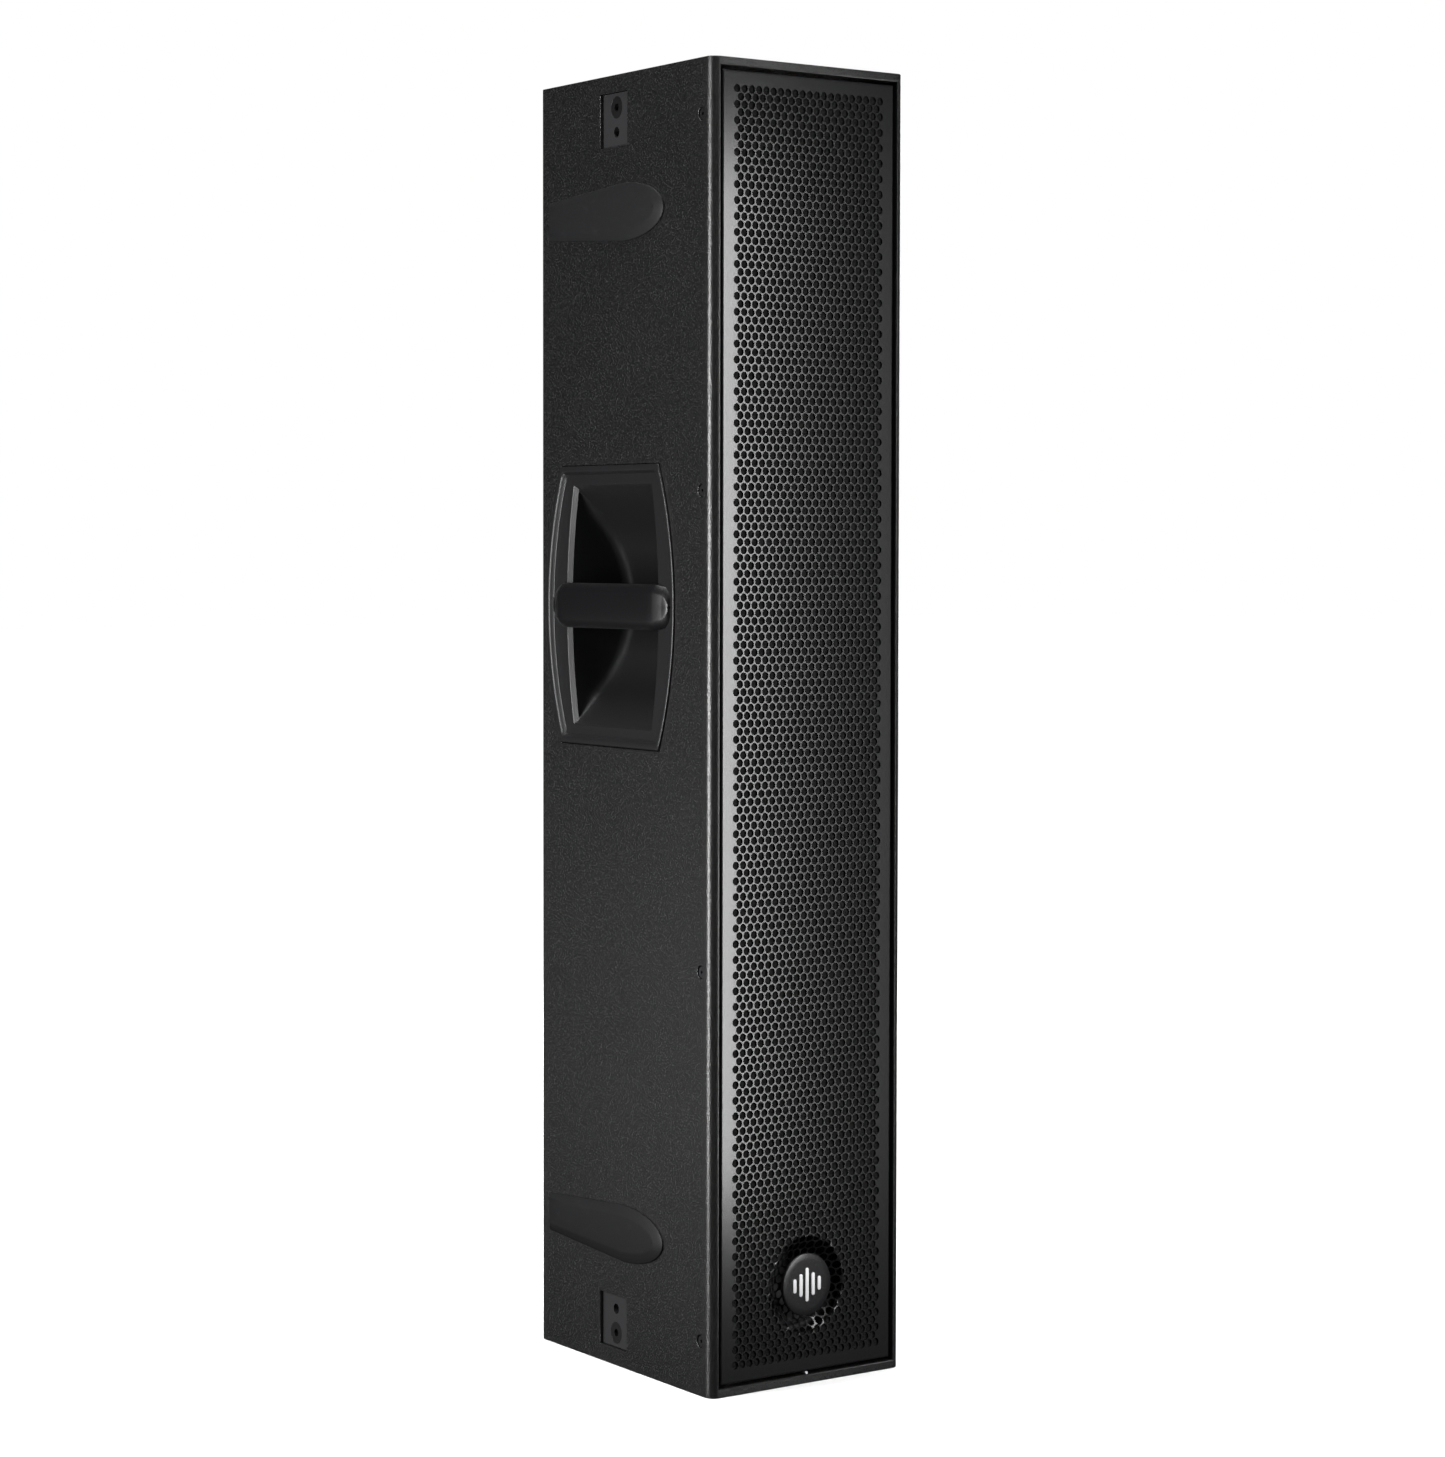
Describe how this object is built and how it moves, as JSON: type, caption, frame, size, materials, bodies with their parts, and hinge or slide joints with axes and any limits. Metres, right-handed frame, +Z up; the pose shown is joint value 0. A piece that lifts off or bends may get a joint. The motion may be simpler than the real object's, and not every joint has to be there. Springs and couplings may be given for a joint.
{
  "type": "line array speaker",
  "caption": "Tall narrow column loudspeaker, tapered in plan, with a perforated front grille, recessed side handles, side pads, rigging points, a pole socket and a rear amplifier panel.",
  "frame": {"origin": "on the floor, at the middle of the cabinet's footprint", "axes": "+Z up, the grille faces -Y, +Y points out of the back, +X points to the right of somebody who looks at the grille"},
  "size_m": [0.1988, 0.274, 1.056],
  "materials": {
    "cabinet_paint": "black textured paint on plywood",
    "plywood": "bare plywood",
    "grille_steel": "satin black powder coat",
    "foam": "open acoustic foam",
    "black_screws": "black zinc",
    "zinc_screws": "bright zinc",
    "badge_disc": "gloss black",
    "badge_symbol": "white",
    "clear_lens": "frosted",
    "horn_plastic": "fine grained",
    "magnet_steel": "black plated",
    "diaphragm": "thin foil",
    "basket": "black painted pressed steel",
    "cone_paper": "coated paper",
    "surround_rubber": "soft matt",
    "spider_cloth": "treated cloth",
    "handle_plastic": "fine grained",
    "handle_grip": "fine grained",
    "pad_rubber": "smooth matt",
    "rigging_steel": "black powder coat",
    "pole_metal": "black powder coat",
    "amp_metal": "black powder coat",
    "heat_sink": "black anodised",
    "circuit_board": "solder mask",
    "copper_winding": "varnished winding and core",
    "inlet_plastic": "blue",
    "outlet_plastic": "grey",
    "socket_plastic": "black",
    "rocker_plastic": "black with a red end",
    "socket_metal": "nickel plated",
    "latch_metal": "nickel plated",
    "knob_plastic": "soft touch",
    "button_plastic": "grey",
    "led_lens": "translucent",
    "wire_insulation": "sleeved wires"
  },
  "bodies": {
    "cabinet": {"side_panel_left": "cabinet_paint", "side_panel_right": "cabinet_paint", "top_panel": "cabinet_paint", "bottom_panel": "cabinet_paint", "back_panel": "cabinet_paint", "front_baffle": "cabinet_paint", "brace_upper": "plywood", "brace_lower": "plywood", "grille": "grille_steel", "grille_foam": "foam", "grille_screws": "black_screws", "badge_disc": "badge_disc", "badge_symbol": "badge_symbol", "status_lens": "clear_lens", "horn": "horn_plastic", "horn_screws": "zinc_screws", "driver_magnet": "magnet_steel", "driver_cap": "horn_plastic", "woofer_1_basket": "basket", "woofer_2_basket": "basket", "woofer_3_basket": "basket", "woofer_4_basket": "basket", "woofer_1_surround": "surround_rubber", "woofer_2_surround": "surround_rubber", "woofer_3_surround": "surround_rubber", "woofer_4_surround": "surround_rubber", "woofer_magnets": "magnet_steel", "woofer_spiders": "spider_cloth", "woofer_screws": "zinc_screws", "handle_cup_left": "handle_plastic", "handle_cup_right": "handle_plastic", "handle_bar_left": "handle_grip", "handle_bar_right": "handle_grip", "handle_screws": "zinc_screws", "side_pads": "pad_rubber", "rigging_plates": "rigging_steel", "rigging_screws": "black_screws", "pole_socket": "pole_metal", "pole_socket_screws": "zinc_screws", "amp_panel": "amp_metal", "heat_sink": "heat_sink", "amp_board": "circuit_board", "amp_transformer": "copper_winding", "power_inlet": "inlet_plastic", "power_outlet": "outlet_plastic", "switch_frame": "socket_plastic", "signal_input": "socket_plastic", "signal_link": "socket_metal", "panel_leds": "led_lens", "amp_screws": "zinc_screws", "wiring_loom": "wire_insulation"},
    "woofer_1": {"woofer_1_cone": "cone_paper"},
    "woofer_2": {"woofer_2_cone": "cone_paper"},
    "woofer_3": {"woofer_3_cone": "cone_paper"},
    "woofer_4": {"woofer_4_cone": "cone_paper"},
    "diaphragm": {"driver_diaphragm": "diaphragm"},
    "gain_knob": {"gain_knob": "knob_plastic"},
    "power_rocker": {"power_switch": "rocker_plastic"},
    "mode_button": {"mode_button": "button_plastic"},
    "input_latch": {"input_latch": "latch_metal"}
  },
  "joints": [
    {"name": "woofer_1_excursion", "type": "slide", "parent": "cabinet", "child": "woofer_1", "axis": [0, -1, 0], "range_m": [-0.004, 0.004], "stiffness_N_per_m": 1800, "deforming": ["woofer_1_surround"]},
    {"name": "woofer_2_excursion", "type": "slide", "parent": "cabinet", "child": "woofer_2", "axis": [0, -1, 0], "range_m": [-0.004, 0.004], "stiffness_N_per_m": 1800, "deforming": ["woofer_2_surround"]},
    {"name": "woofer_3_excursion", "type": "slide", "parent": "cabinet", "child": "woofer_3", "axis": [0, -1, 0], "range_m": [-0.004, 0.004], "stiffness_N_per_m": 1800, "deforming": ["woofer_3_surround"]},
    {"name": "woofer_4_excursion", "type": "slide", "parent": "cabinet", "child": "woofer_4", "axis": [0, -1, 0], "range_m": [-0.004, 0.004], "stiffness_N_per_m": 1800, "deforming": ["woofer_4_surround"]},
    {"name": "diaphragm_excursion", "type": "slide", "parent": "cabinet", "child": "diaphragm", "axis": [0, -1, 0], "range_m": [-0.0003, 0.0003], "stiffness_N_per_m": 1000},
    {"name": "gain_turn", "type": "hinge", "parent": "cabinet", "child": "gain_knob", "pos_m": [0.019, 0.115, 0.253], "axis": [0, 1, 0], "range_deg": [-150, 150]},
    {"name": "power_rocker_tilt", "type": "hinge", "parent": "cabinet", "child": "power_rocker", "pos_m": [0, 0.112, 0.17], "axis": [1, 0, 0], "range_deg": [0, 18]},
    {"name": "mode_button_press", "type": "slide", "parent": "cabinet", "child": "mode_button", "axis": [0, -1, 0], "range_m": [0, 0.0015], "stiffness_N_per_m": 200, "springref_m": -0.0005},
    {"name": "input_latch_press", "type": "slide", "parent": "cabinet", "child": "input_latch", "axis": [0, -1, 0], "range_m": [0, 0.002], "stiffness_N_per_m": 200, "springref_m": -0.0005}
  ]
}
